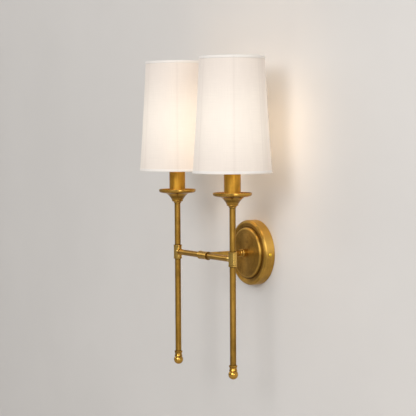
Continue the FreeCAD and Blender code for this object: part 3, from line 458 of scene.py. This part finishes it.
turnedBrass = brassMaterial("turnedBrass", finishes["turned"], columnMasks, column)
teeBrass = brassMaterial("teeBrass", finishes["tee"], barrelMasks(teeHalf, barrelRims["tee"]),
                         column)
hubBrass = brassMaterial("hubBrass", finishes["hub"], barrelMasks(hubHalf, barrelRims["hub"]),
                         crossbar, across)
bossBrass = brassMaterial("bossBrass", finishes["boss"], None, plateCentre, outward)
rodBrass = brassMaterial("drawnBrass", finishes["rod"], contactMasks(rodEnds), column)
barBrass = brassMaterial("crossbarBrass", finishes["bar"], contactMasks(armEnds), crossbar, across)
plateBrass = brassMaterial("spunBrass", finishes["plate"], plateMasks, plateCentre, outward)
sleeveBrassPaintedWarmLight = brassMaterial("sleeveBrassPaintedWarmLight", finishes["sleeve"], contactMasks(sleeveEnds), column)
screwBrass = brassMaterial("screwBrass", finishes["screw"])


def clothing(material, *names):
    for name in names:
        for slot in nodes[name].material_slots:
            slot.material = material


for end in sides:
    clothing(turnedBrass, "finial_" + end, "cup_bell_" + end, "drip_pan_" + end)
    clothing(teeBrass, "tee_" + end)
    clothing(rodBrass, "upper_tube_" + end, "lower_rod_" + end)
    clothing(barBrass, "arm_" + end)
    clothing(sleeveBrassPaintedWarmLight, "candle_sleeve_" + end)
    clothing(screwBrass, "lampholder_contacts_" + end, "pan_nut_" + end)
clothing(hubBrass, "hub")
clothing(bossBrass, "stem_boss", "stem_tube")
clothing(plateBrass, "backplate")
clothing(screwBrass, "backplate_side_screws")
print("brass done")


# mesh helpers
def meshFrom(name, points, faces, uvs=None, smooth=True):
    # points: n by 3 array, faces: m by 4 array of indices, uvs: one pair per point
    mesh = bpy.data.meshes.new(name)
    mesh.vertices.add(len(points))
    mesh.vertices.foreach_set("co", np.asarray(points, np.float32).ravel())
    mesh.loops.add(faces.size)
    mesh.loops.foreach_set("vertex_index", faces.astype(np.int32).ravel())
    mesh.polygons.add(len(faces))
    mesh.polygons.foreach_set("loop_start", np.arange(0, faces.size, 4, dtype=np.int32))
    mesh.update(calc_edges=True)
    if uvs is not None:
        layer = mesh.uv_layers.new(name="cloth")
        layer.data.foreach_set("uv", np.asarray(uvs, np.float32)[faces.ravel()].ravel())
    mesh.polygons.foreach_set("use_smooth", np.full(len(faces), smooth))
    piece = bpy.data.objects.new(name, mesh)
    bpy.context.scene.collection.objects.link(piece)
    return piece


def gridFaces(rows, width, closed=False):
    # quads of a grid stored row by row; where it is closed, its last column joins the first
    i = np.arange(rows - 1)
    j = np.arange(width if closed else width - 1)
    i, j = np.meshgrid(i, j, indexing="ij")
    iNext, jNext = i + 1, (j + 1) % width
    quads = np.stack([i * width + j, i * width + jNext,
                      iNext * width + jNext, iNext * width + j], axis=-1)
    return quads.reshape(-1, 4)


def weld(piece, distance):
    # closes the seam of a piece that was laid out flat for its cloth coordinates
    shell = bmesh.new()
    shell.from_mesh(piece.data)
    bmesh.ops.remove_doubles(shell, verts=shell.verts, dist=distance)
    shell.to_mesh(piece.data)
    shell.free()


# shades
shade = {
    "bottomRadius": 0.06935, "topRadius": 0.0572,     # outside of the fabric
    "thickness": 0.0008,
    "ribs": 6, "firstRib": -90.0,                     # degrees, one rib faces the room
    "flattening": 0.0009,                             # how far a panel lies inside the cone
    "seam": 22.0, "seamWidth": 0.0100,                # degrees and metres, lap of the cloth
    "around": 288, "upward": 72,                      # quads of the grid
    "tapeWidth": 0.005, "tapeThickness": 0.00045, "tapeLift": 0.0004, "tapeUpward": 4,
    "weld": 0.00002,
    "cloth": (0.50, 0.46, 0.43), "tape": (0.62, 0.60, 0.58),
    # painted shadow of the ribs in the cloth's colour
    "ribShadowColour": (0.80, 0.74, 0.66), "ribTintShare": 0.08,
}
glow = {
    "warm": (1.0, 0.82, 0.67), "white": (1.0, 0.88, 0.72), "whiteSpan": (0.45, 1.0),
    "strength": 0.40, "tapeShare": 0.5,
    "middle": 0.44,                                   # brightest level, share of the height
    "fall": (0.60, 0.0, 0.62, 1.0),                   # dimmer away from that level
    "ribHalfWidth": 0.048, "ribShadow": 0.07,         # of the distance between two ribs
    "haloHalfWidth": 0.13, "haloShadow": 0.04,
    "lapFade": 0.0012, "lapShadow": 0.07, "lapEdge": 0.0026, "lapEdgeShadow": 0.16,
    "driftScale": (9, 3, 1), "drift": (0.2, 0.8, 0.95, 1.05),    # slow change over the cloth
}
weave = {
    "across": 620.0, "up": 300.0,                     # threads
    "slubsUp": (520, 5, 1), "slubsAcross": (9, 260, 1),
    "tone": (0.75, 1.25, 0.975, 1.015),
    "thread": 0.25, "crossing": 0.4,                  # shares of the height
    "bump": 0.25, "bumpDepth": 0.00015,
}


def shadeSurface(turn, rise, inward=0.0):
    # a cone whose panels lie slightly inside the circle between the ribs, most at mid height
    height = shadeTop - shadeBase
    radius = shade["bottomRadius"] + (shade["topRadius"] - shade["bottomRadius"]) * rise
    ribAngle = turn - math.radians(shade["firstRib"])
    between = np.sin(ribAngle * shade["ribs"] / 2) ** 2
    belly = np.clip(np.sin(np.pi * rise), 0, 1) ** 0.5
    radius = radius - inward - shade["flattening"] * between * belly
    return np.stack([radius * np.cos(turn), radius * np.sin(turn),
                     shadeBase + height * rise], axis=-1)


def tapeSurface(turn, rise, inward=0.0):
    # the same cone, a little outside the cloth
    return shadeSurface(turn, rise, inward - shade["tapeLift"])


def dimmed(tree, level, shadow):
    return times(tree, level, math2(tree, "SUBTRACT", 1.0, shadow))


def lampGlowGroup():
    # warm light behind the cloth: strongest near the lamp's level, dimmer along the ribs
    # and under the lapped seam, whose two edges show as thin lines
    group, given, result = newGroup("lampGlow", [
        ("Cloth", "NodeSocketVector", None),
        ("Warm", "NodeSocketColor", (*glow["warm"], 1)),
        ("White", "NodeSocketColor", (*glow["white"], 1)),
        ("Middle", "NodeSocketFloat", glow["middle"]),
        ("Seam", "NodeSocketFloat", 0.0),
        ("Seam Half Width", "NodeSocketFloat", 0.0),
    ], [("Glow", "NodeSocketColor"), ("Rib", "NodeSocketFloat")])
    turn, rise, _ = splitVector(group, given.outputs["Cloth"])
    away = math2(group, "ABSOLUTE", math2(group, "SUBTRACT", rise, given.outputs["Middle"]))
    level = remap(group, away, *glow["fall"])
    panel = math2(group, "ADD", times(group, turn, shade["ribs"]), 0.5)
    panel = math2(group, "FRACT", panel)
    toRib = math2(group, "ABSOLUTE", math2(group, "SUBTRACT", panel, 0.5))
    rib = remap(group, toRib, glow["ribHalfWidth"], 0.0)
    halo = remap(group, toRib, glow["haloHalfWidth"], 0.0, 0.0, glow["haloShadow"])
    toSeam = math2(group, "ABSOLUTE", math2(group, "SUBTRACT", turn, given.outputs["Seam"]))
    fromEdge = math2(group, "SUBTRACT", toSeam, given.outputs["Seam Half Width"])
    lap = remap(group, fromEdge, glow["lapFade"], -glow["lapFade"], 0.0, glow["lapShadow"])
    edge = remap(group, math2(group, "ABSOLUTE", fromEdge), glow["lapEdge"], 0.0,
                 0.0, glow["lapEdgeShadow"])
    drift = noise(group, stretch(group, given.outputs["Cloth"], glow["driftScale"]), 1.0)
    level = dimmed(group, level, times(group, rib, glow["ribShadow"]))
    level = dimmed(group, level, halo)
    level = dimmed(group, level, math2(group, "ADD", lap, edge))
    level = times(group, level, remap(group, drift, *glow["drift"]))
    tint = mixColour(group, remap(group, level, *glow["whiteSpan"]), given.outputs["Warm"],
                     given.outputs["White"])
    lit = mixColour(group, 1.0, tint, level, "MULTIPLY")
    group.links.new(lit, result.inputs["Glow"])
    group.links.new(rib, result.inputs["Rib"])
    return group


def linenGroup():
    # plain weave of slubbed threads, counted in threads across the cloth coordinates
    group, given, result = newGroup("linen", [
        ("Cloth", "NodeSocketVector", None),
        ("Threads Across", "NodeSocketFloat", weave["across"]),
        ("Threads Up", "NodeSocketFloat", weave["up"]),
    ], [("Tone", "NodeSocketFloat"), ("Height", "NodeSocketFloat")])
    cloth = given.outputs["Cloth"]
    turn, rise, _ = splitVector(group, cloth)
    across = times(group, turn, given.outputs["Threads Across"])
    up = times(group, rise, given.outputs["Threads Up"])

    def wave(threads, angle):
        return math2(group, "SINE", times(group, threads, angle))

    warp = times(group, wave(across, 2 * math.pi), weave["thread"])
    weft = times(group, wave(up, 2 * math.pi), weave["thread"])
    over = times(group, wave(across, math.pi), wave(up, math.pi))
    height = math2(group, "ADD", warp, weft)
    height = math2(group, "ADD", height, times(group, over, weave["crossing"]))
    slub = math2(group, "ADD", noise(group, stretch(group, cloth, weave["slubsUp"]), 1.0),
                 noise(group, stretch(group, cloth, weave["slubsAcross"]), 1.0))
    group.links.new(remap(group, slub, *weave["tone"]), result.inputs["Tone"])
    group.links.new(math2(group, "ADD", height, slub), result.inputs["Height"])
    return group


lampGlow = lampGlowGroup()
linen = linenGroup()


def fabricMaterial(name, colour, strength):
    # woven cloth lit from behind, its colour darker along each rib as the rib's painted shadow
    material, tree, shader = newMaterial(name, {
        "Roughness": 0.92, "Sheen Weight": 0.25, "Sheen Roughness": 0.5,
        "Specular IOR Level": 0.2, "Emission Strength": strength,
    })
    uv = tree.nodes.new("ShaderNodeUVMap")
    uv.uv_map = "cloth"
    threads = useGroup(tree, linen, {"Cloth": uv.outputs["UV"]})
    lit = useGroup(tree, lampGlow, {
        "Cloth": uv.outputs["UV"],
        "Seam": (shade["seam"] - shade["firstRib"]) / 360.0,
        "Seam Half Width": shade["seamWidth"] / (4 * math.pi * shade["bottomRadius"]),
    })
    cloth = mixColour(tree, 1.0, colour, threads.outputs["Tone"], "MULTIPLY")
    darker = tuple(part * share for part, share in zip(colour, shade["ribShadowColour"]))
    # painted shadow of the ribs
    cloth = mixColour(tree, times(tree, lit.outputs["Rib"], shade["ribTintShare"]), cloth, darker)
    tree.links.new(cloth, shader.inputs["Base Color"])
    glowing = mixColour(tree, 1.0, lit.outputs["Glow"], threads.outputs["Tone"], "MULTIPLY")
    tree.links.new(glowing, shader.inputs["Emission Color"])
    addBump(tree, shader, threads.outputs["Height"], weave["bump"], weave["bumpDepth"])
    return material


shadeFabric = fabricMaterial("litLinen", shade["cloth"], glow["strength"])
tapeFabric = fabricMaterial("edgeTape", shade["tape"], glow["strength"] * glow["tapeShare"])


def clothTube(name, x, y, surface, lowRise, highRise, upward, thickness):
    # outer and inner face of a cloth ring, joined at both rims and welded along the seam
    turn = np.linspace(0, 2 * np.pi, shade["around"] + 1)[None, :]
    rise = np.linspace(lowRise, highRise, upward)[:, None]
    outer = surface(turn, rise + 0 * turn)
    inner = surface(turn, rise + 0 * turn, thickness)
    rows = np.concatenate([outer, inner[::-1], outer[:1]], axis=0) + np.array([x, y, 0.0])
    riseRow = np.concatenate([rise[:, 0], rise[::-1, 0], rise[:1, 0]])
    uvs = np.stack(np.broadcast_arrays(turn / (2 * np.pi) - shade["firstRib"] / 360.0,
                                       riseRow[:, None]), axis=-1)
    faces = gridFaces(rows.shape[0], rows.shape[1])
    tube = meshFrom(name, rows.reshape(-1, 3), faces, uvs.reshape(-1, 2))
    weld(tube, shade["weld"])
    return tube


tapeShare = shade["tapeWidth"] / (shadeTop - shadeBase)
for end, side in sides.items():
    x, y = columns["x"] * side, columns["y"]
    cloth = clothTube("shadeCloth_" + end, x, y, shadeSurface, 0.0, 1.0, shade["upward"],
                      shade["thickness"])
    cloth.data.materials.append(shadeFabric)
    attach(cloth, "shade_" + end)
    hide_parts("shade_" + end)
    for edge, low, high in (("Bottom", 0.0, tapeShare), ("Top", 1.0 - tapeShare, 1.0)):
        tape = clothTube("shadeTape%s_%s" % (edge, end), x, y, tapeSurface, low, high,
                         shade["tapeUpward"], shade["tapeThickness"])
        tape.data.materials.append(tapeFabric)
        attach(tape, "shade_" + end)
        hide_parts("shade_tape_" + end)
print("shades done")


# small inner parts
plain = {
    "grain": 260.0, "span": (0.3, 0.7),               # scale and range of the mottling
    "darkest": 0.85, "smoother": 0.04, "rougher": 0.06,
    "bump": 0.1, "bumpDepth": 0.0002,
}


def plainFinish(name, colour, roughness, metallic=0.0, grain=plain["grain"], extra=None):
    # moulded or plated finish with a faint mottling
    settings = {"Metallic": metallic, "Roughness": roughness}
    settings.update(extra or {})
    material, tree, shader = newMaterial(name, settings)
    mottle = noise(tree, objectCoords(tree), grain, 3.0)
    tone = mixColour(tree, remap(tree, mottle, *plain["span"]), colour,
                     tuple(part * plain["darkest"] for part in colour))
    tree.links.new(tone, shader.inputs["Base Color"])
    rough = remap(tree, mottle, *plain["span"], roughness - plain["smoother"],
                  roughness + plain["rougher"])
    tree.links.new(rough, shader.inputs["Roughness"])
    addBump(tree, shader, mottle, plain["bump"], plain["bumpDepth"])
    return material


wireWhite = plainFinish("whiteWire", (0.80, 0.79, 0.76), 0.4)
zincSteel = plainFinish("zincPlate", (0.60, 0.61, 0.63), 0.32, 1.0, 90.0)
ivoryMoulding = plainFinish("ivoryMoulding", (0.78, 0.75, 0.68), 0.35)
terminalNylon = plainFinish("terminalNylon", (0.80, 0.79, 0.74), 0.5)
earthGreen = plainFinish("earthScrewGreen", (0.06, 0.28, 0.09), 0.35)
lampCapMetal = plainFinish("lampCapMetal", (0.72, 0.72, 0.72), 0.28, 1.0)
flexCover = plainFinish("flexCover", (0.76, 0.74, 0.70), 0.5)
lampFrost = plainFinish("frostedLamp", (1.0, 0.95, 0.86), 0.35, extra={
    "Emission Color": (1.0, 0.80, 0.55, 1.0), "Emission Strength": 1.1})
filamentGlow = plainFinish("lightStrip", (1.0, 0.85, 0.55), 0.4, extra={
    "Emission Color": (1.0, 0.75, 0.40, 1.0), "Emission Strength": 3.0})

for end in sides:
    clothing(wireWhite, "shade_bottom_ring_" + end, "shade_top_ring_" + end,
             "shade_ribs_" + end, "shade_fitter_" + end)
    clothing(ivoryMoulding, "lampholder_cap_" + end, "lampholder_skirt_" + end,
             "shade_lock_ring_" + end)
    clothing(lampCapMetal, "lamp_cap_" + end)
    clothing(lampFrost, "lamp_glass_" + end)
    clothing(filamentGlow, "lamp_filament_" + end)
    clothing(flexCover, "wire_" + end)
clothing(zincSteel, "wall_bracket", "stem_washer", "stem_nut", "terminal_screws")
clothing(terminalNylon, "terminal_block")
clothing(earthGreen, "earth_screw")
print("inner parts done")


# camera, wall and light
view = {"azimuth": 58.06, "pitch": -3.30, "roll": -0.32,         # degrees
        "place": (2.0114, -1.3586, 0.2220), "lens": 113.8, "sensor": 36.0, "far": 60.0}
room = {
    "paint": (0.65, 0.63, 0.61), "paintRoughness": 0.95, "paintSpecular": 0.1,
    "plaster": (3.0, 3.0), "shadedPaint": 0.97,       # noise of the wall, its darker tone
    "wallFront": 0.0006, "floor": -0.9, "reach": 8.0,
    "opening": 0.052, "openingSides": 64,             # round hole behind the backplate
    "air": (0.86, 0.86, 0.85), "airStrength": 0.39,
}
lights = {                                            # place, target, size, watts, colour
    "keyLight": ((1.6, -2.8, 1.15), (0, -0.05, 0.05), 1.4, 30, (0.97, 0.98, 1.0)),
    "softLight": ((2.4, -3.5, 2.3), (0, -0.05, 0.05), 4.0, 94, (1.0, 0.985, 0.965)),
    "fillLight": ((-2.4, -1.9, 1.3), (0, 0, 0.05), 1.8, 13, (1.0, 0.98, 0.96)),
    "sideLight": ((3.3, -0.9, 0.6), (0.1, -0.1, 0.1), 1.6, 24, (1.0, 0.97, 0.93)),
    "backLight": ((0.8, 2.6, 0.9), (0, 0, 0), 2.0, 30, (1.0, 0.98, 0.96)),
}
lampLight = {"level": 0.225, "watts": 0.25, "radius": 0.02, "colour": (1.0, 0.72, 0.43)}


def addCamera():
    data = bpy.data.cameras.new("photoView")
    data.lens = view["lens"]
    data.sensor_width = view["sensor"]
    data.sensor_fit = "HORIZONTAL"
    data.clip_end = view["far"]
    camera = bpy.data.objects.new("photoView", data)
    bpy.context.scene.collection.objects.link(camera)
    yaw, pitch, roll = (math.radians(view[angle]) for angle in ("azimuth", "pitch", "roll"))
    ahead = Vector((-math.sin(yaw) * math.cos(pitch), math.cos(yaw) * math.cos(pitch),
                    math.sin(pitch)))
    right = Vector((math.cos(yaw), math.sin(yaw), 0.0))
    up = right.cross(ahead)
    rolledRight = right * math.cos(roll) + up * math.sin(roll)
    rolledUp = up * math.cos(roll) - right * math.sin(roll)
    turn = Matrix((rolledRight, rolledUp, -ahead)).transposed()
    camera.matrix_world = Matrix.Translation(view["place"]) @ turn.to_4x4()
    bpy.context.scene.camera = camera


def floorSheet(name, material):
    # a flat floor that ends at the wall
    reach, level = room["reach"], room["floor"]
    mesh = bpy.data.meshes.new(name)
    mesh.from_pydata([(-reach, -reach, level), (reach, -reach, level),
                      (reach, room["wallFront"], level), (-reach, room["wallFront"], level)],
                     [], [(0, 1, 2, 3)])
    mesh.materials.append(material)
    piece = bpy.data.objects.new(name, mesh)
    bpy.context.scene.collection.objects.link(piece)


def wallSheet(name, material):
    # a flat wall with a round opening behind the backplate, so that light from behind reaches
    # into it: straight lines run in from a far square to the opening's circle, and what is
    # below the floor is raised to it
    turn = np.linspace(0, 2 * np.pi, room["openingSides"] + 1)[:-1][None, :]
    square = np.maximum(np.abs(np.cos(turn)), np.abs(np.sin(turn)))
    reach = np.concatenate([room["reach"] / square, room["opening"] + 0 * square], axis=0)
    points = np.stack([reach * np.cos(turn), room["wallFront"] + 0 * reach,
                       reach * np.sin(turn)], axis=-1)
    points[..., 2] = np.maximum(points[..., 2], room["floor"])
    wall = meshFrom(name, points.reshape(-1, 3), gridFaces(2, room["openingSides"], closed=True),
                    smooth=False)
    wall.data.materials.append(material)


def wallMaterial(name):
    # a plain painted wall that can only be seen from the room's side
    colour = room["paint"]
    material, tree, shader = newMaterial(name, {"Roughness": room["paintRoughness"],
                                                "Specular IOR Level": room["paintSpecular"]})
    plaster = noise(tree, objectCoords(tree), *room["plaster"])
    tone = mixColour(tree, remap(tree, plaster, *plain["span"]), colour,
                     tuple(part * room["shadedPaint"] for part in colour))
    tree.links.new(tone, shader.inputs["Base Color"])
    behind = tree.nodes.new("ShaderNodeNewGeometry").outputs["Backfacing"]
    clear = tree.nodes.new("ShaderNodeBsdfTransparent")
    mix = tree.nodes.new("ShaderNodeMixShader")
    tree.links.new(behind, mix.inputs[0])
    tree.links.new(shader.outputs[0], mix.inputs[1])
    tree.links.new(clear.outputs[0], mix.inputs[2])
    tree.links.new(mix.outputs[0], tree.nodes["Material Output"].inputs["Surface"])
    return material


def addArea(name, place, target, size, watts, colour):
    data = bpy.data.lights.new(name, "AREA")
    data.shape = "DISK"
    data.size = size
    data.energy = watts
    data.color = colour
    lamp = bpy.data.objects.new(name, data)
    lamp.location = place
    aim = Vector(target) - Vector(place)
    lamp.rotation_euler = aim.to_track_quat("-Z", "Y").to_euler()
    bpy.context.scene.collection.objects.link(lamp)


def addLampLight(name, place, through):
    # a point light that the given pieces let through, as lit cloth and frosted glass do
    data = bpy.data.lights.new(name, "POINT")
    data.energy = lampLight["watts"]
    data.shadow_soft_size = lampLight["radius"]
    data.color = lampLight["colour"]
    lamp = bpy.data.objects.new(name, data)
    lamp.location = place
    bpy.context.scene.collection.objects.link(lamp)
    passing = bpy.data.collections.new(name + "Passing")
    lamp.light_linking.blocker_collection = passing
    for piece in through:
        passing.objects.link(piece)
    for item in passing.collection_objects:
        item.light_linking.link_state = "EXCLUDE"


addCamera()
paint = wallMaterial("wallPaint")
wallSheet("wall", paint)
floorSheet("floor", paint)
for name, settings in lights.items():
    addArea(name, *settings)
for end, side in sides.items():
    addLampLight("lampLight_" + end, (columns["x"] * side, columns["y"], lampLight["level"]),
                 [bpy.data.objects["shadeCloth_" + end], nodes["lamp_glass_" + end],
                  nodes["lamp_filament_" + end]])

world = bpy.data.worlds.new("studio")
bpy.context.scene.world = world
world.use_nodes = True
background = world.node_tree.nodes["Background"]
background.inputs["Color"].default_value = (*room["air"], 1)
background.inputs["Strength"].default_value = room["airStrength"]
bpy.context.scene.view_settings.view_transform = "Standard"
print("camera, wall and light done")
